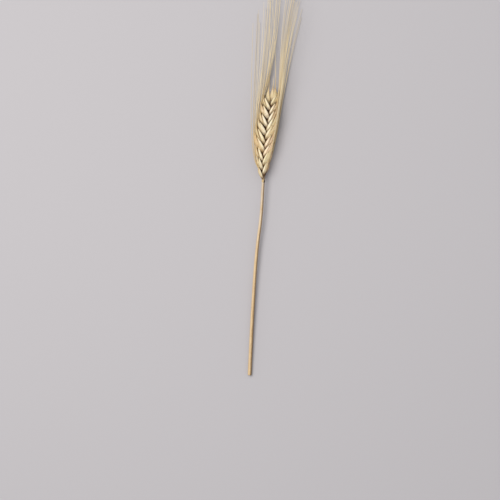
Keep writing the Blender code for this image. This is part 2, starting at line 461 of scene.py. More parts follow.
@dataclass(frozen=True)
class EarGrowth:
    """The rule by which the ear grows: its axis, its spikelets and where its awns end."""

    foot: Spot = (-1.644, -7.929, 5.35)
    axis_length: float = 61.0
    axis_bow: float = 0.9
    axis_lean: float = 1.4
    axis_sink: float = 1.2
    spikelets: int = 18
    first_joint: float = 0.03
    last_joint: float = 0.955
    joint_offset: float = 0.5
    fullest_at: float = 0.36
    foot_size: float = 0.7
    top_size: float = 0.74
    top_taper: float = 1.5
    girth: Spot = (0.62, 1.0, 0.92)
    left_lean: Spot = (0.74, 1.1, 1.08)
    right_lean: Spot = (0.34, 0.98, 0.96)
    size_sway: float = 0.07
    size_sway_step: float = 2.4
    top_joint: float = 0.975
    top_spikelet_size: float = 1.18
    top_spikelet_lean: float = 0.5
    top_spikelet_girth: float = 0.82
    spikelet_seed: int = 2600
    unevenness: float = 0.35
    awn_socket: float = 0.84
    awn_rise: float = 9.0
    awn_bend_at: float = 0.5
    awn_length: Band = (114.0, 90.0)
    awn_length_spread: float = 8.0
    short_awn_length: Band = (16.0, 11.0)
    short_awn_thickness: float = 0.7
    left_brush: Brush = Brush(
        tips=(-22.3, -0.2), gathering=0.44, spring=(10.4, -4.0), clearance=(6.9, -7.8)
    )
    right_brush: Brush = Brush(
        tips=(18.6, 7.3), gathering=1.4, spring=(3.8, -1.5), clearance=(-3.0, -4.5)
    )
    brush_spread: float = 1.6
    upper_tip_height: Band = (22.0, 12.0)
    lower_tip_height: Band = (0.8, 2.6)
    tip_height_spread: float = 0.15
    upper_tip_lean: float = 2.2
    top_tip_lean: float = -6.5

    @property
    def foot_place(self) -> Vector:
        """The ear's foot, in metres."""
        return Vector(self.foot) * MM

    def axis_point(self, share: float) -> Vector:
        """Find a place on the axis, which bows to the left and leans to the right.

        Args:
            share: The share of the axis, from the ear's foot to its last joint.

        Returns:
            The place, in metres.
        """
        bow = BOW_SCALE * share * (1 - share) ** 2
        sideways = self.axis_lean * share**2 - self.axis_bow * bow
        rise = Vector((sideways, self.axis_length * share, -self.axis_sink * share**2))
        return self.foot_place + rise * MM

    def spikelet_size(self, share: float) -> float:
        """Work out how large a spikelet is, small at the foot and smaller again at the top.

        Args:
            share: The share of the axis that it stands at.

        Returns:
            Its size against that of the fullest one.
        """
        if share < self.fullest_at:
            return 1 - (1 - self.foot_size) * (1 - share / self.fullest_at) ** 2
        past = (share - self.fullest_at) / (1 - self.fullest_at)
        return 1 - (1 - self.top_size) * past**self.top_taper

    def along_ear(self, values: Spot, share: float) -> float:
        """Read a value that changes up the ear.

        Args:
            values: The value at the ear's foot, where it is fullest and at its top.
            share: The share of the axis to read it at.

        Returns:
            The value there.
        """
        foot, fullest, top = values
        if share < self.fullest_at:
            return between(foot, fullest, share / self.fullest_at)
        return between(fullest, top, (share - self.fullest_at) / (1 - self.fullest_at))

    def side_spikelet(self, index: int) -> Spikelet:
        """Grow the spikelet of one joint of the axis, on its left or its right side.

        Args:
            index: The joint's number, from the foot.

        Returns:
            The spikelet.
        """
        share = between(self.first_joint, self.last_joint, index / (self.spikelets - 1))
        on_the_right = index % 2 == 1
        outward = TO_THE_RIGHT if on_the_right else -TO_THE_RIGHT
        sway = 1 + self.size_sway * math.sin(self.size_sway_step * index)
        return Spikelet(
            base=self.axis_point(share) + outward * self.joint_offset * MM,
            outward=outward,
            sideways=TO_THE_TOP,
            size=self.spikelet_size(share) * sway,
            girth=self.along_ear(self.girth, share),
            lean=self.along_ear(self.right_lean if on_the_right else self.left_lean, share),
            share=share,
            draw=random.Random(self.spikelet_seed + index),
        )

    def top_spikelet(self) -> Spikelet:
        """Grow the last spikelet, which stands across the others.

        Returns:
            The spikelet.
        """
        return Spikelet(
            base=self.axis_point(self.top_joint),
            outward=TO_THE_TOP,
            sideways=TO_THE_RIGHT,
            size=self.spikelet_size(1.0) * self.top_spikelet_size,
            girth=self.top_spikelet_girth,
            lean=self.top_spikelet_lean,
            share=1.0,
            draw=random.Random(self.spikelet_seed + self.spikelets),
        )

    def bract_run(self, kind: Bract, spikelet: Spikelet, hand: Hand) -> list[Vector]:
        """Run a husk out from its spikelet, with a little of nature's unevenness.

        Args:
            kind: The kind of husk.
            spikelet: The spikelet that it belongs to.
            hand: The half of the spikelet that it is on.

        Returns:
            The husk's three control points.
        """
        shape = BRACT_SHAPES[kind]
        uneven = self.unevenness
        out, up, side = (value + spikelet.draw.uniform(-uneven, uneven) for value in shape.tip)
        spots = (shape.root, shape.bend, (out, up, side))
        return [spikelet.place(spot, hand) for spot in spots]

    def awn_tip(self, spikelet: Spikelet, brush: Brush, towards: Vector, start: Vector) -> Vector:
        """Find where an awn ends: the lowest spikelets reach furthest out.

        Args:
            spikelet: The spikelet that the awn stands on.
            brush: The brush that it belongs to.
            towards: The way out from the ear at the awn.
            start: The awn's root.

        Returns:
            The place of the awn's tip.
        """
        draw = spikelet.draw
        height = self.upper_tip_height if towards.z > 0 else self.lower_tip_height
        length = between(*self.awn_length, spikelet.share)
        length += draw.uniform(-self.awn_length_spread, self.awn_length_spread)
        sideways = between(*brush.tips, spikelet.share**brush.gathering)
        sideways += draw.uniform(-self.brush_spread, self.brush_spread)
        lean = self.upper_tip_lean if spikelet.share < 1 else self.top_tip_lean
        sideways += lean * max(towards.z, 0)
        rise = between(*height, spikelet.share)
        rise *= draw.uniform(1 - self.tip_height_spread, 1 + self.tip_height_spread)
        return Vector((self.foot[0] + sideways, start.y / MM + length, rise)) * MM

    def awn_run(self, spikelet: Spikelet, hand: Hand, lemma_run: Sequence[Vector]) -> list[Vector]:
        """Run out the long awn that a lemma ends in.

        Args:
            spikelet: The spikelet that the awn stands on.
            hand: The half of the spikelet that it is on.
            lemma_run: The control points of its lemma.

        Returns:
            The awn's four control points.
        """
        root = bezier_point(lemma_run, self.awn_socket)
        towards = spikelet.outward + spikelet.sideways * hand.value
        leans_right = towards.x > 0 and spikelet.share < 1
        brush = self.right_brush if leans_right else self.left_brush
        tip = self.awn_tip(spikelet, brush, towards, root)
        rise = bezier_heading(lemma_run, self.awn_socket) * self.awn_rise * MM
        gathered = spikelet.share**brush.gathering
        spring = spikelet.outward * between(*brush.spring, gathered) * MM
        clear = spikelet.outward * between(*brush.clearance, gathered) * MM
        return [root, root + rise + spring, root.lerp(tip, self.awn_bend_at) + clear, tip]

    def short_awn_run(self, spikelet: Spikelet, floret_run: Sequence[Vector]) -> list[Vector]:
        """Run out the short awn that a middle floret ends in, which turns up the ear.

        Args:
            spikelet: The spikelet that the awn stands on.
            floret_run: The control points of its floret's husk.

        Returns:
            The awn's four control points.
        """
        root = bezier_point(floret_run, self.awn_socket)
        heading = bezier_heading(floret_run, self.awn_socket)
        length = between(*self.short_awn_length, spikelet.share) * MM
        rise = (heading + UP_EAR).normalized()
        return [
            root,
            root + heading * length / 3,
            root + rise * length * 2 / 3,
            root + (rise + UP_EAR).normalized() * length,
        ]

    def grow(self) -> tuple[list[GrownBract], list[GrownAwn]]:
        """Grow every spikelet in turn.

        Returns:
            The husks and the awns, in the order in which they grow.
        """
        grown = [self.side_spikelet(index) for index in range(self.spikelets)]
        grown.append(self.top_spikelet())
        bracts: list[GrownBract] = []
        awns: list[GrownAwn] = []
        for spikelet in grown:
            for hand in (Hand.NEAR, Hand.FAR):
                for kind in (Bract.GLUME, Bract.LEMMA):
                    run = self.bract_run(kind, spikelet, hand)
                    bracts.append(GrownBract(kind, spikelet, hand, run))
                awns.append(GrownAwn(self.awn_run(spikelet, hand, run)))
            hand = Hand(spikelet.draw.choice((1, -1)))
            run = self.bract_run(Bract.MIDDLE, spikelet, hand)
            bracts.append(GrownBract(Bract.MIDDLE, spikelet, hand, run))
            awns.append(GrownAwn(self.short_awn_run(spikelet, run), self.short_awn_thickness))
        return bracts, awns


@dataclass(frozen=True)
class HuskFinish:
    """A dry wheat husk: papery, satin, ribbed lengthwise, with painted shade at its root and brown
    edges.

    The middle and the reach of the ear's paler band are distances along +Y in millimetres,
    and glow_mm is how far red, green and blue light goes under the surface. The fibres' noise
    is fibre_mm wide on a husk whose half girth is half_girth_mm, and is stretched over its length.
    """

    name: str
    pale: str
    golden: str
    root: str
    tip: str
    edge: str
    outer: str
    nerve: str
    blush: str = "#e2c4ab"
    moss: str = "#d3caa0"
    speck: str = "#8f7044"
    cast: float = 0.45
    cast_turns: float = 5.0
    darker_from: float = -0.02
    darker_width: float = 0.1
    overlap_shade: float = 0.0
    root_shade_reach: float = 0.42
    paler_middle_at: float = 40.0
    paler_reach: float = 20.0
    paling: float = 0.85
    nerves: float = 16.0
    nerve_depth: float = 0.5
    nerve_relief: float = 0.6
    speck_mm: float = 1.1
    mottle_mm: float = 2.2
    fibre_mm: float = 0.25
    half_girth_mm: float = 5.2
    fibre_lengths: float = 3.0
    fibre_shift: float = 57.0
    roughness: Band = (0.4, 0.65)
    relief_mm: float = 0.12
    relief_strength: float = 0.55
    glow: float = 0.12
    glow_mm: Spot = (0.9, 0.6, 0.3)

    def material(self) -> bpy.types.Material:
        """Make the finish, which follows each husk's own length and turn.

        Returns:
            The material.
        """
        material, tree, shader = new_material(self.name)
        along, around, tint = (
            add_node(tree, "Attribute", output="Fac", attribute_name=name)
            for name in (ALONG, AROUND, TINT)
        )
        place = add_node(tree, "TexCoord", output="Object")

        # A husk with a low tint is pale, and husks are paler towards the upper middle of the ear.
        height = add_node(tree, "SeparateXYZ", {0: place}, output="Y")
        past = add_node(tree, "Math", {0: height, 1: self.paler_middle_at * MM}, operation="SUBTRACT")
        distance = add_node(tree, "Math", {0: past}, operation="ABSOLUTE")
        reach = {"From Max": self.paler_reach * MM, "To Min": 1 - self.paling}
        paled = add_node(tree, "MapRange", {"Value": distance, **reach})
        shade = add_node(tree, "Math", {0: tint, 1: paled}, operation="MULTIPLY")
        worn = add_node(tree, "MapRange", {"Value": shade, "To Min": 0.3, "From Max": 0.25})
        dulled = add_node(tree, "MapRange", {"Value": shade, "To Min": 0.25, "To Max": 0.95})

        # Fine fibres run along the husk, each husk with its own stretch of the noise.
        strand = add_node(tree, "CombineXYZ", {"X": around, "Y": along, "Z": tint})
        spread = (self.half_girth_mm / self.fibre_mm, self.fibre_lengths, self.fibre_shift)
        drawn_out = add_node(tree, "VectorMath", {0: strand, 1: spread}, operation="MULTIPLY")
        fibres = add_node(tree, "TexNoise", {"Vector": drawn_out, "Scale": 1.0, "Detail": 3.0})

        # The nerves are as many as the ribs of the mesh.
        wave = add_node(tree, "Math", {0: around, 1: math.pi * self.nerves}, operation="MULTIPLY")
        ribs = add_node(tree, "Math", {0: wave}, operation="COSINE")

        # Patches and specks have real sizes, and a husk's cast comes from its tint alone.
        mottle = {"Vector": place, "Scale": 1 / (self.mottle_mm * MM), "Detail": 4.0, "Roughness": 0.6}
        patches = add_node(tree, "TexNoise", mottle)
        marks = {"Vector": place, "Scale": 1 / (self.speck_mm * MM), "Detail": 2.0, "Roughness": 0.5}
        specks = add_node(tree, "TexNoise", marks)
        wander = add_node(tree, "Math", {0: tint, 1: math.tau * self.cast_turns}, operation="MULTIPLY")
        swing = add_node(tree, "Math", {0: wander}, operation="SINE")
        turned = add_node(tree, "Math", {0: around}, operation="ABSOLUTE")

        darker_to = self.darker_from + self.darker_width
        tones = (
            # Weathered patches, a couple of millimetres across, and then the husk's own age.
            Tone(patches, start=0.36, full=0.66, colour=self.golden, held_back=worn),
            Tone(shade, start=0.0, full=1.0, colour=self.golden, most=0.8),
            # Darker lines between the ribs, and the fibres.
            Tone(ribs, start=0.3, full=-0.9, colour=self.nerve, most=self.nerve_depth),
            Tone(fibres, start=0.55, full=0.8, colour=self.nerve, most=0.45),
            # Small brown specks, where rain and mould have marked it.
            Tone(specks, start=0.6, full=0.75, colour=self.speck, most=0.6),
            # Past its keel, the half that faces away from the ear is darker.
            Tone(around, self.darker_from, darker_to, self.outer, held_back=dulled),
            # Husks do not fade alike: some keep a pinkish cast, and some a greenish one.
            Tone(swing, start=0.0, full=1.0, colour=self.blush, most=self.cast),
            Tone(swing, start=0.0, full=-1.0, colour=self.moss, most=self.cast),
            # Painted shade where its neighbour lies over it: that side is darkened to the root brown.
            Tone(around, start=-0.34, full=-0.47, colour=self.root, most=self.overlap_shade),
            # Painted shade at the root, where it tucks into the ear, and its own brown at its dry tip.
            # At its papery edges, their own brown is deepened by painted shade in the gaps.
            Tone(along, self.root_shade_reach, full=0.05, colour=self.root, held_back=worn),
            Tone(along, start=0.82, full=1.0, colour=self.tip, most=0.8),
            Tone(turned, start=0.36, full=0.6, colour=self.edge, most=0.85),
        )
        tree.links.new(lay_tones(tree, self.pale, tones), shader.inputs["Base Color"])

        smooth, rough = self.roughness
        sheen = add_node(tree, "MapRange", {"Value": fibres, "To Min": smooth, "To Max": rough})
        tree.links.new(sheen, shader.inputs["Roughness"])
        heights = {0: ribs, 1: self.nerve_relief, 2: fibres}
        relief = add_node(tree, "Math", heights, operation="MULTIPLY_ADD")
        raised = {"Strength": self.relief_strength, "Distance": self.relief_mm * MM}
        bump = add_node(tree, "Bump", {"Height": relief, **raised})
        tree.links.new(bump, shader.inputs["Normal"])
        shader.inputs["Subsurface Weight"].default_value = self.glow
        shader.inputs["Subsurface Radius"].default_value = Vector(self.glow_mm) * MM
        shader.inputs["Subsurface Scale"].default_value = 1.0
        return material


@dataclass(frozen=True)
class AwnFinish:
    """A dry awn: a stiff bristle, golden where it leaves its husk and paler to its tip."""

    name: str
    low: str
    high: str
    paled_at: float = 0.5
    golden_share: float = 0.45
    roughness: float = 0.55

    def material(self) -> bpy.types.Material:
        """Make the finish, which follows each awn's own length.

        Returns:
            The material.
        """
        material, tree, shader = new_material(self.name)
        along, tint = (
            add_node(tree, "Attribute", output="Fac", attribute_name=name) for name in (ALONG, TINT)
        )
        tones = (
            Tone(along, start=0.0, full=self.paled_at, colour=self.high),
            # Some awns have stayed golden.
            Tone(tint, start=0.0, full=1.0, colour=self.low, most=self.golden_share),
        )
        tree.links.new(lay_tones(tree, self.low, tones), shader.inputs["Base Color"])
        shader.inputs["Roughness"].default_value = self.roughness
        return material


@dataclass(frozen=True)
class StrawFinish:
    """A dry wheat straw: satin, finely streaked lengthwise, warm below and greyer near the ear.

    Upper_at and lower_at are places along +Y in millimetres. Over a band of the turn around
    it, between the finish's two shade bounds, the straw is browned as painted shade, with a
    ragged edge.
    """

    name: str
    upper: str
    lower: str
    streak: str
    shadow: str
    specks_and_shade_brown: str
    shade_from: float = 0.56
    shade_to: float = 0.88
    upper_at: float = -8.0
    lower_at: float = -70.0
    ragged: float = 0.3
    speck_mm: float = 1.3
    streak_mm: float = 0.32
    streak_length_mm: float = 24.0
    patch_mm: float = 9.0
    roughness: Band = (0.34, 0.57)
    relief_mm: float = 0.1
    relief_strength: float = 0.5

    def material(self) -> bpy.types.Material:
        """Make the finish, on Object coordinates that are drawn out along the stalk.

        Returns:
            The material.
        """
        material, tree, shader = new_material(self.name)
        around = add_node(tree, "Attribute", output="Fac", attribute_name=AROUND)
        place = add_node(tree, "TexCoord", output="Object")
        height = add_node(tree, "SeparateXYZ", {0: place}, output="Y")
        narrow = 1 / (self.streak_mm * MM)
        stretch = (narrow, 1 / (self.streak_length_mm * MM), narrow)
        drawn_out = add_node(tree, "Mapping", {"Vector": place, "Scale": stretch})
        fibres = add_node(tree, "TexNoise", {"Vector": drawn_out, "Scale": 1.0, "Detail": 4.0})
        patch = {"Vector": place, "Scale": 1 / (self.patch_mm * MM), "Detail": 3.0}
        patches = add_node(tree, "TexNoise", patch)
        marks = {"Vector": place, "Scale": 1 / (self.speck_mm * MM), "Detail": 3.0, "Roughness": 0.7}
        specks = add_node(tree, "TexNoise", marks)
        torn = {0: specks, 1: self.ragged, 2: around}
        shade_edge = add_node(tree, "Math", torn, operation="MULTIPLY_ADD")
        # The noise lies about a half, so half of the raggedness is taken off again.
        shade_from = self.shade_from + self.ragged / 2
        shade_to = self.shade_to + self.ragged / 2
        tones = (
            Tone(height, self.upper_at * MM, self.lower_at * MM, self.lower),
            Tone(fibres, start=0.42, full=0.66, colour=self.streak),
            Tone(patches, start=0.5, full=0.8, colour=self.shadow, most=0.5),
            Tone(specks, start=0.62, full=0.78, colour=self.specks_and_shade_brown, most=0.6),
            # Painted shade browns one side of the straw, and paints the collar's nearly black shadow.
            Tone(shade_edge, shade_from, shade_to, self.specks_and_shade_brown),
        )
        tree.links.new(lay_tones(tree, self.upper, tones), shader.inputs["Base Color"])

        smooth, rough = self.roughness
        gloss = add_node(tree, "MapRange", {"Value": fibres, "To Min": smooth, "To Max": rough})
        tree.links.new(gloss, shader.inputs["Roughness"])
        raised = {"Strength": self.relief_strength, "Distance": self.relief_mm * MM}
        bump = add_node(tree, "Bump", {"Height": fibres, **raised})
        tree.links.new(bump, shader.inputs["Normal"])
        return material


@dataclass(frozen=True)
class PithFinish:
    """The pith in a straw: a pale, matt foam of dry cells."""

    name: str
    cell: str
    gap: str
    cell_mm: float = 0.18
    roughness: float = 0.95
    relief_mm: float = 0.1
    relief_strength: float = 0.7

    def material(self) -> bpy.types.Material:
        """Make the finish, a cellular pattern on Object coordinates.

        Returns:
            The material.
        """
        material, tree, shader = new_material(self.name)
        place = add_node(tree, "TexCoord", output="Object")
        foam = {"Vector": place, "Scale": 1 / (self.cell_mm * MM)}
        cells = add_node(tree, "TexVoronoi", foam)
        tones = (Tone(cells, start=0.0, full=1.0, colour=self.gap),)
        tree.links.new(lay_tones(tree, self.cell, tones), shader.inputs["Base Color"])
        raised = {"Strength": self.relief_strength, "Distance": self.relief_mm * MM}
        bump = add_node(tree, "Bump", {"Height": cells, **raised})
        tree.links.new(bump, shader.inputs["Normal"])
        shader.inputs["Roughness"].default_value = self.roughness
        return material


@dataclass(frozen=True)
class FloorFinish:
    """A plain, matt, pale painted board."""

    name: str
    colour: str
    roughness: float = 0.9
    specular: float = 0.2

    def material(self) -> bpy.types.Material:
        """Make the finish, one even colour.

        Returns:
            The material.
        """
        material, _, shader = new_material(self.name)
        shader.inputs["Base Color"].default_value = linear(self.colour)
        shader.inputs["Roughness"].default_value = self.roughness
        shader.inputs["Specular IOR Level"].default_value = self.specular
        return material


@dataclass
class HuskSet:
    """All husks of one kind, as one piece."""

    kind: Bract
    finish: HuskFinish
    bracts: list[GrownBract]
    seed: int = 11
    tints: Band = (0.25, 1.0)
    top_tint: float = 0.13
    breadths: Band = (0.92, 1.1)
    root_girth: float = 1.16
    girth_lost: float = 0.4
    inner_half: float = 0.55
    keel_width: float = 0.055
    rib_height: float = 0.022
    roll_spread: float = 0.2
    beak_from: float = 0.86
    rest_height: float = 0.03

    def arch(self, turn: float, around: float) -> float:
        """Work out how far a husk stands off its middle, before its depth.

        Args:
            turn: The angle from the middle of its back.
            around: The same turn as a share, positive on the side away from the ear.

        Returns:
            The distance against its girth, negative on the side of its belly.
        """
        made = BRACT_SHAPES[self.kind]
        round_back = math.cos(turn)
        if round_back <= 0:
            return round_back * self.inner_half
        past = around - made.keel_at
        reach = 0.5 - made.keel_at if past > 0 else 0.5 + made.keel_at
        back = between(round_back, max(0.0, 1 - abs(past) / reach), made.roof)
        return back * (1 + made.keel * math.exp(-((past / self.keel_width) ** 2)))

    def husk(self, bract: GrownBract, draw: random.Random) -> bmesh.types.BMesh:
        """Bend a sphere into one husk, with a keel, ribs, a beak and, on a glume, an open side.

        Args:
            bract: The husk as it has grown.
            draw: Where its own tint, breadth and roll are drawn from.

        Returns:
            The husk's bmesh.
        """
        made = BRACT_SHAPES[self.kind]
        spikelet = bract.spikelet
        tint = draw.uniform(*self.tints) if spikelet.share < 1 else self.top_tint
        shape = new_shape()
        bmesh.ops.create_uvsphere(shape, u_segments=made.sides, v_segments=made.bands, radius=0.5)
        if made.opening is not None:
            bmesh.ops.bisect_plane(
                shape,
                geom=shape.verts[:] + shape.edges[:] + shape.faces[:],
                dist=CUT_DISTANCE,
                plane_co=(0.0, made.opening, 0.0),
                plane_no=(0.0, 1.0, 0.0),
                clear_inner=True,
            )
        size = spikelet.size * spikelet.girth * MM
        broad = made.width * draw.uniform(*self.breadths)
        facing = spikelet.direction(made.facing, bract.hand)
        facing += UP_EAR.cross(facing) * draw.uniform(-self.roll_spread, self.roll_spread)
        for vertex in shape.verts:
            turn = math.atan2(vertex.co.y, vertex.co.x) - math.pi / 2
            turn = (turn + math.pi) % math.tau - math.pi
            share = min(max(vertex.co.z + 0.5, 0.0), 1.0)
            heading = bezier_heading(bract.run, share)
            across = facing.cross(heading).normalized()
            back = heading.cross(across)
            around = (-turn if across.dot(spikelet.outward) > 0 else turn) / math.pi
            girth = math.hypot(vertex.co.x, vertex.co.y) * size
            girth *= self.root_girth - self.girth_lost * share
            ribbed = math.sin(math.pi * share) ** 0.5 if 0 < share < 1 else 0.0
            girth *= 1 + self.rib_height * math.cos(made.sides / 2 * turn) * ribbed
            beak = max(0.0, (share - self.beak_from) / (1 - self.beak_from)) ** 2
            place = bezier_point(bract.run, share) + heading * beak * made.beak * size
            place -= across * math.sin(turn) * girth * broad
            place += back * self.arch(turn, around) * girth * made.depth
            mark(shape, vertex, share, around, tint)
            vertex.co = place
        if made.opening is not None:
            shape.normal_update()
            bmesh.ops.solidify(shape, geom=shape.faces[:], thickness=made.wall * size)
        for vertex in shape.verts:
            vertex.co.z = max(vertex.co.z, self.rest_height * MM)
        return shape

    def build(self) -> bpy.types.Object:
        """Build every husk of the kind and dress them.

        Returns:
            The piece's object.
        """
        draw = random.Random(self.seed)
        body = new_shape()
        for bract in self.bracts:
            if bract.kind is self.kind:
                join(body, self.husk(bract, draw))
        return make_object(self.kind.value, body, self.finish.material())


@dataclass
class Awns:
    """The long and short awns, with the teeth along their edges, as one piece."""

    awns: list[GrownAwn]
    finish: AwnFinish
    seed: int = 23
    sides: int = 6
    fewest_stretches: int = 12
    stretches_per_mm: float = 0.42
    crowding: float = 1.25
    radius: float = 0.34
    tip_radius: float = 0.11
    foot_radius: float = 0.3
    foot_length: float = 6.0
    first_tooth: int = 2
    tooth_spacing: float = 1.7
    tooth_length: float = 0.42
    tooth_radius: float = 0.07
    tooth_sides: int = 3
    tooth_ahead: float = 0.93
    tooth_aside: float = 0.37
    tooth_root: float = 0.8
    tip_tooth_size: float = 0.5

    def awn(self, grown: GrownAwn, tint: float) -> bmesh.types.BMesh:
        """Bend and taper a rod into one awn.

        Args:
            grown: The awn as it has grown.
            tint: Its own shade, from 0 to 1.

        Returns:
            The awn's bmesh.
        """
        shape = new_shape()
        length = (grown.run[-1] - grown.run[0]).length / MM
        stretches = max(self.fewest_stretches, round(length * self.stretches_per_mm))
        long_rod(shape, self.sides, stretches)
        for vertex in shape.verts:
            share = max(0.0, vertex.co.z + 0.5) ** self.crowding
            across, back = square_to(bezier_heading(grown.run, share))
            radius = between(self.radius, self.tip_radius, share) * grown.thickness * MM
            radius += self.foot_radius * math.exp(-share * length / self.foot_length) * MM
            sideways = across * vertex.co.x + back * vertex.co.y
            mark(shape, vertex, share, tint=tint)
            vertex.co = bezier_point(grown.run, share) + sideways * radius
        self.add_teeth(shape, grown.run, tint)
        return shape

    def add_teeth(self, shape: bmesh.types.BMesh, run: Sequence[Vector], tint: float) -> None:
        """Set forward-pointing teeth along two edges of an awn.

        Args:
            shape: The awn's bmesh.
            run: The awn's control points.
            tint: The awn's own shade.
        """
        length = (run[-1] - run[0]).length / MM
        count = int(length / self.tooth_spacing)
        for index in range(self.first_tooth, count):
            share = index / count
            heading = bezier_heading(run, share)
            across, _ = square_to(heading)
            side = across if index % 2 else -across
            lean = (heading * self.tooth_ahead + side * self.tooth_aside).normalized()
            radius = between(self.radius, self.tip_radius, share) * self.tooth_root * MM
            size = between(1.0, self.tip_tooth_size, share) * MM
            middle = bezier_point(run, share) + side * radius + lean * self.tooth_length * size / 2
            turn = lean.to_track_quat("Z", "Y").to_matrix().to_4x4()
            made = bmesh.ops.create_cone(
                shape,
                cap_ends=True,
                segments=self.tooth_sides,
                radius1=self.tooth_radius * size,
                radius2=0.0,
                depth=self.tooth_length * size,
                matrix=Matrix.Translation(middle) @ turn,
            )
            for vertex in made["verts"]:
                mark(shape, vertex, share, tint=tint)

    def build(self) -> bpy.types.Object:
        """Build every awn and dress them.

        Returns:
            The piece's object.
        """
        draw = random.Random(self.seed)
        body = new_shape()
        for grown in self.awns:
            join(body, self.awn(grown, draw.random()))
        return make_object("awns", body, self.finish.material())


@dataclass
class Rachis:
    """The jointed axis that the spikelets stand on, seen in the gaps between them."""

    growth: EarGrowth
    finish: StrawFinish
    radius: float = 2.7
    foot_radius: float = 1.1
    top_radius: float = 1.3
    widens_by: float = 0.09
    narrows_from: float = 0.93
    overrun: float = 1.04
    sides: int = 20
    rings: int = 144
    rib_height: float = 0.03
    joint_swell: float = 0.12
    joint_swing: float = 0.25

    def radius_at(self, share: float) -> float:
        """Work out how thick the axis is: thin at its foot, full, and thin at its top.

        Args:
            share: The share of the axis.

        Returns:
            Its radius in mm.
        """
        growth = self.growth
        at = min(share, 1.0)
        full = self.radius * growth.spikelet_size(at) * growth.along_ear(growth.girth, at)
        widening = min(1.0, share / self.widens_by)
        narrowing = max(0.0, (share - self.narrows_from) / (self.overrun - self.narrows_from))
        return between(between(self.foot_radius, full, widening), self.top_radius, narrowing)

    def build(self) -> bpy.types.Object:
        """Bend a rod into the zigzag axis, swollen at each joint, and dress it.

        Returns:
            The piece's object.
        """
        shape = new_shape()
        long_rod(shape, self.sides, self.rings)
        growth = self.growth
        span = growth.last_joint - growth.first_joint
        for vertex in shape.verts:
            share = (vertex.co.z + 0.5) * self.overrun
            joints = (share - growth.first_joint) / span * (growth.spikelets - 1)
            swell = 1 + self.joint_swell * math.cos(math.tau * joints)
            swing = self.joint_swing * math.cos(math.pi * joints) * min(1.0, share / self.widens_by)
            radius = self.radius_at(share) * swell * MM
            turn = math.atan2(vertex.co.y, vertex.co.x)
            ribs = 1 + self.rib_height * math.cos(self.sides / 2 * turn)
            sideways = TO_THE_RIGHT * vertex.co.x - TO_THE_TOP * vertex.co.y
            mark(shape, vertex, share)
            vertex.co = growth.axis_point(share) + sideways * radius * ribs
            vertex.co -= TO_THE_RIGHT * swing * MM
        return make_object("rachis", shape, self.finish.material())


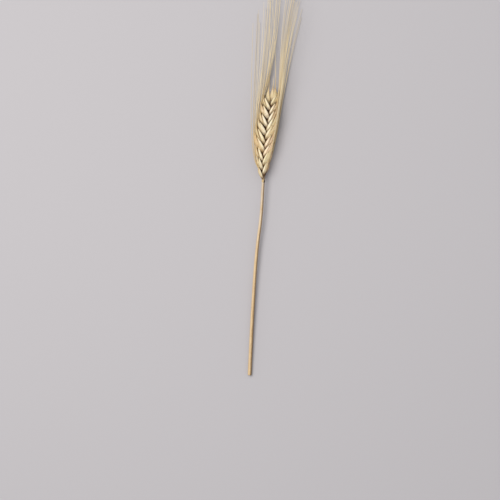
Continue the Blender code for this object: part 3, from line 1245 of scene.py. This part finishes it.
@dataclass
class Stalk:
    """The straw: a ribbed tube with a cut, hollow end, and the pith that shows in it."""

    growth: EarGrowth
    finish: StrawFinish
    pith_finish: PithFinish
    gap: float = 0.3
    top_radius: float = 1.1
    end_radius: float = 1.4
    length: float = 150.0
    sides: int = 40
    stretches: int = 150
    rib_height: float = 0.018
    wall: float = 0.38
    hollow: float = 0.9
    pith_seed: int = 31
    pith_sides: int = 28
    pith_bands: int = 14
    pith_fit: float = 1.02
    pith_depth: float = 0.55
    pith_sunk: float = 0.1
    pith_unevenness: float = 0.05
    bends: tuple[Band, ...] = (
        (0.0, -0.1),
        (11.0, 0.1),
        (22.0, 0.3),
        (34.0, 0.0),
        (46.0, -0.7),
        (61.0, -1.1),
        (77.0, -1.1),
        (92.0, -0.85),
        (107.0, -0.6),
        (123.0, -0.2),
        (150.0, 0.6),
    )

    def shift(self, distance: float) -> float:
        """Read the stalk's shift to the right from the smooth curve through its bends.

        Args:
            distance: The distance below the ear, in mm.

        Returns:
            The shift, in mm.
        """
        last = len(self.bends) - 2
        start = next((i for i in range(last) if distance <= self.bends[i + 1][0]), last)
        before = self.bends[max(start - 1, 0)]
        here, there = self.bends[start], self.bends[start + 1]
        after = self.bends[min(start + 2, len(self.bends) - 1)]
        span = there[0] - here[0]
        share = (distance - here[0]) / span
        slope_here = (there[1] - before[1]) / (there[0] - before[0]) * span
        slope_there = (after[1] - here[1]) / (after[0] - here[0]) * span
        cube, square = share**3, share**2
        return (
            (2 * cube - 3 * square + 1) * here[1]
            + (cube - 2 * square + share) * slope_here
            + (3 * square - 2 * cube) * there[1]
            + (cube - square) * slope_there
        )

    def centre(self, share: float) -> Vector:
        """Find the middle of the stalk.

        Args:
            share: The share of its length, from the ear to the cut end.

        Returns:
            The place of its middle, in metres.
        """
        distance = self.length * share
        height = between(self.growth.foot[2], self.end_radius, share)
        x, y, _ = self.growth.foot
        return Vector((x + self.shift(distance), y - self.gap - distance, height)) * MM

    def build_straw(self) -> bpy.types.Object:
        """Bend a rod into the straw, hollow its cut end and dress it.

        Returns:
            The piece's object.
        """
        shape = new_shape()
        long_rod(shape, self.sides, self.stretches)
        end = [f for f in shape.faces if len(f.verts) == self.sides and f.normal.z > 0.5]
        bmesh.ops.inset_region(shape, faces=end, thickness=self.wall / self.end_radius)
        bmesh.ops.recalc_face_normals(shape, faces=shape.faces)
        deeper = bmesh.ops.extrude_face_region(shape, geom=end)
        sunk = [v for v in deeper["geom"] if isinstance(v, bmesh.types.BMVert)]
        bmesh.ops.delete(shape, geom=end, context="FACES")
        bmesh.ops.translate(shape, verts=sunk, vec=(0.0, 0.0, -self.hollow / self.length))
        bmesh.ops.recalc_face_normals(shape, faces=shape.faces)
        for vertex in shape.verts:
            share = vertex.co.z + 0.5
            turn = math.atan2(vertex.co.y, vertex.co.x)
            ahead = self.centre(min(share + HEADING_STEP, 1.0))
            behind = self.centre(max(share - HEADING_STEP, 0.0))
            across, back = square_to((ahead - behind).normalized())
            radius = between(self.top_radius, self.end_radius, share)
            radius *= 1 + self.rib_height * math.cos(self.sides / 2 * turn)
            # The turn around is written for the painted shade that browns one side of the straw.
            mark(shape, vertex, share, abs(turn) / math.pi)
            sideways = across * vertex.co.x + back * vertex.co.y
            vertex.co = self.centre(share) + sideways * radius * MM
        return make_object("straw", shape, self.finish.material())

    def build_pith(self) -> bpy.types.Object:
        """Build the plug of pith that shows in the cut end and dress it.

        Returns:
            The piece's object.
        """
        shape = new_shape()
        bmesh.ops.create_uvsphere(
            shape, u_segments=self.pith_sides, v_segments=self.pith_bands, radius=1.0
        )
        bore = (self.end_radius - self.wall) * self.pith_fit
        draw = random.Random(self.pith_seed)
        middle = self.centre(1.0) + UP_EAR * (self.hollow + self.pith_sunk) * MM
        for vertex in shape.verts:
            mark(shape, vertex, 1.0)
            rough = 1 + draw.uniform(-self.pith_unevenness, self.pith_unevenness)
            x, y, z = vertex.co * rough
            vertex.co = middle + Vector((x * bore, y * self.pith_depth, z * bore)) * MM
        return make_object("straw_pith", shape, self.pith_finish.material())


@dataclass
class Collar:
    """The ring where the stalk ends and the ear begins, torn on one side."""

    growth: EarGrowth
    finish: StrawFinish
    seed: int = 41
    sides: int = 36
    rings: int = 20
    length: float = 2.2
    below_foot: float = 0.6
    neck_radius: float = 0.99
    radius: float = 1.25
    fullness: float = 0.7
    lobes: int = 5
    lobe_turn: float = 1.0
    lobe_height: float = 0.06
    torn_reach: float = 0.9
    torn: Band = (-0.16, 0.12)
    worn: Band = (-0.02, 0.02)

    def build(self) -> bpy.types.Object:
        """Swell a short rod into the collar and dress it.

        Returns:
            The piece's object.
        """
        shape = new_shape()
        long_rod(shape, self.sides, self.rings)
        draw = random.Random(self.seed)
        start = self.growth.foot_place - UP_EAR * self.length * self.below_foot * MM
        for vertex in shape.verts:
            share = vertex.co.z + 0.5
            turn = math.atan2(vertex.co.y, vertex.co.x)
            swell = math.sin(math.pi * share) ** self.fullness if 0 < share < 1 else 0.0
            uneven = draw.uniform(*(self.torn if abs(turn) < self.torn_reach else self.worn))
            lobe = self.lobe_height * math.cos(self.lobes * turn + self.lobe_turn)
            radius = between(self.neck_radius, self.radius, swell)
            radius *= 1 + (lobe + uneven) * swell
            sideways = TO_THE_RIGHT * vertex.co.x - TO_THE_TOP * vertex.co.y
            # The turn around is written for the painted shadow on the collar's torn side.
            mark(shape, vertex, share, 1 - abs(turn) / math.pi)
            vertex.co = start + UP_EAR * share * self.length * MM + sideways * radius * MM
        return make_object("collar", shape, self.finish.material())


@dataclass
class Studio:
    """The pale floor, the soft light and the camera at the photograph's viewing angle.

    The turn is how far the camera has gone round to the ear's right, in degrees, and the roll
    is how far it is tipped. Its sizes and places are in metres, except those of the lens.
    """

    growth: EarGrowth
    floor_finish: FloorFinish
    floor_side: float = 6.0
    turn: float = 12.0
    roll: float = 4.6
    frame_width: float = 0.385
    lens_mm: float = 85.0
    sensor_mm: float = 36.0
    nearest: float = 0.01
    aim_across: float = -0.0060
    aim_along: float = -0.0538
    fill: float = 0.66
    fill_colour: str = "#f1efef"
    key_watts: float = 13.3
    key_place: Spot = (-0.42, 0.16, 1.1)
    side_watts: float = 1.0
    side_place: Spot = (0.85, 0.1, 0.8)
    lamp_size: float = 1.1
    lamp_colour: str = "#fffaf3"

    def build_floor(self) -> bpy.types.Object:
        """Build the floor that the ear lies on.

        Returns:
            The floor's object.
        """
        shape = new_shape()
        bmesh.ops.create_grid(shape, x_segments=1, y_segments=1, size=self.floor_side / 2)
        return make_object("floor", shape, self.floor_finish.material())

    def light(self) -> None:
        """Set an even fill, one large soft light from the upper left and a weak one opposite."""
        world = bpy.data.worlds.new("studio")
        world.use_nodes = True
        background = world.node_tree.nodes["Background"]
        background.inputs["Color"].default_value = linear(self.fill_colour)
        background.inputs["Strength"].default_value = self.fill
        bpy.context.scene.world = world
        bpy.context.scene.view_settings.view_transform = "Standard"
        self.add_lamp("key", self.key_place, self.key_watts)
        self.add_lamp("side", self.side_place, self.side_watts)

    def add_lamp(self, name: str, spot: Spot, watts: float) -> None:
        """Add a large round soft light that faces the ear.

        Args:
            name: The light's name.
            spot: Its place.
            watts: Its power.
        """
        lamp = bpy.data.lights.new(name, "AREA")
        lamp.shape = "DISK"
        lamp.size = self.lamp_size
        lamp.energy = watts
        lamp.color = linear(self.lamp_colour)[:3]
        stand = bpy.data.objects.new(name, lamp)
        stand.location = Vector(spot)
        stand.rotation_euler = Vector(spot).to_track_quat("Z", "Y").to_euler()
        bpy.context.scene.collection.objects.link(stand)

    def aim_camera(self) -> bpy.types.Object:
        """Place the camera so that the ear stands in the frame as it does in the photograph.

        Returns:
            The camera's object.
        """
        turn, roll = math.radians(self.turn), math.radians(self.roll)
        across = Vector((math.cos(turn), 0.0, -math.sin(turn)))
        view = Vector((math.sin(turn), 0.0, math.cos(turn)))
        right = across * math.cos(roll) + UP_EAR * math.sin(roll)
        up = UP_EAR * math.cos(roll) - across * math.sin(roll)
        aim = self.growth.foot_place + across * self.aim_across + UP_EAR * self.aim_along
        distance = self.frame_width * self.lens_mm / self.sensor_mm
        lens = bpy.data.cameras.new("camera")
        lens.lens = self.lens_mm
        lens.sensor_width = self.sensor_mm
        lens.clip_start = self.nearest
        camera = bpy.data.objects.new("camera", lens)
        turned = Matrix([[right[i], up[i], view[i]] for i in range(3)]).to_4x4()
        camera.matrix_world = Matrix.Translation(aim + view * distance) @ turned
        bpy.context.scene.collection.objects.link(camera)
        bpy.context.scene.camera = camera
        return camera


# The outer husks make the herringbone: cream and satin, darker on the half turned away.
GLUME_FINISH = HuskFinish(
    name="dry glume husk",
    pale="#fff7e4",
    golden="#f0e1c0",
    root="#6a4214",
    tip="#dfc99f",
    edge="#b9945a",
    outer="#c8ae82",
    nerve="#dbc89e",
    darker_from=-0.24,
)
# The awned husks behind them are golden, with a painted shadow line where the glume lies on them.
LEMMA_FINISH = HuskFinish(
    name="dry lemma husk",
    pale="#e7d9b7",
    golden="#c6aa7d",
    root="#4f3517",
    tip="#cdae7c",
    edge="#8c693c",
    outer="#bb9b6e",
    nerve="#a58353",
    overlap_shade=0.9,
    root_shade_reach=0.5,
)
# The middle florets' husks are thinner and browner, partly their own colour and partly painted shade,
# and darken the ear's two edges.
MIDDLE_FINISH = HuskFinish(
    name="dry middle floret husk",
    pale="#ecdcc0",
    golden="#c6a576",
    root="#4a3116",
    tip="#c4a272",
    edge="#6f5029",
    outer="#ab8858",
    nerve="#8b693c",
)
# The awns are straw-coloured bristles that pale until they nearly melt into the ground.
AWN_FINISH = AwnFinish(name="dry awn bristle", low="#b79c67", high="#d9ccae")
# The axis is painted dark brown for the shade that it lies in between the husks, and pale only at its
# foot.
RACHIS_FINISH = StrawFinish(
    name="dry rachis",
    upper="#573812",
    lower="#cdb58b",
    streak="#4e391c",
    shadow="#3c2b14",
    specks_and_shade_brown="#4e391c",
    upper_at=-4.0,
    lower_at=-8.0,
)
# The straw has a soft shine with fine lengthwise streaks, and painted shade browns one side.
STRAW_FINISH = StrawFinish(
    name="dry wheat straw",
    upper="#c6bcab",
    lower="#d3bb92",
    streak="#b89a6e",
    shadow="#bea077",
    specks_and_shade_brown="#846640",
    shade_from=0.5,
    shade_to=0.84,
)
# The collar is rough and dull, with a nearly black patch of painted shadow on its torn side, under the
# lowest glume.
COLLAR_FINISH = StrawFinish(
    name="dry collar",
    upper="#c9b083",
    lower="#c9b083",
    streak="#8c7048",
    shadow="#7a5d38",
    specks_and_shade_brown="#2a1d12",
    shade_from=0.56,
    shade_to=0.72,
    ragged=0.7,
    speck_mm=0.8,
    roughness=(0.72, 0.95),
)
# The pith is a chalky foam, paler than the straw around it.
PITH_FINISH = PithFinish(name="dry straw pith", cell="#f1e9d4", gap="#c9b791")
# The board is even and matt, so that nothing on it draws the eye.
FLOOR_FINISH = FloorFinish(name="matt painted board", colour="#aeadb2")


def dress(piece: bpy.types.Object, node: str | None = None) -> None:
    """Tie a piece to the model.

    Args:
        piece: The finished piece.
        node: The CAD node that it stands for, if any.
    """
    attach(piece, BODY)
    if node is not None:
        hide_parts(node)


def main() -> None:
    """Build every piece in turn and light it."""
    logging.basicConfig(level=logging.INFO, format="%(name)s: %(message)s")
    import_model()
    growth = EarGrowth()
    bracts, awns = growth.grow()
    for kind, finish in (
        (Bract.GLUME, GLUME_FINISH),
        (Bract.LEMMA, LEMMA_FINISH),
        (Bract.MIDDLE, MIDDLE_FINISH),
    ):
        dress(HuskSet(kind, finish, bracts).build(), EAR_NODE)
    dress(Awns(awns, AWN_FINISH).build(), EAR_NODE)
    dress(Rachis(growth, RACHIS_FINISH).build(), EAR_NODE)
    stalk = Stalk(growth, STRAW_FINISH, PITH_FINISH)
    dress(stalk.build_straw(), STEM_NODE)
    dress(stalk.build_pith())
    dress(Collar(growth, COLLAR_FINISH).build())
    studio = Studio(growth, FLOOR_FINISH)
    studio.build_floor()
    studio.light()
    studio.aim_camera()


if __name__ == "__main__":
    main()
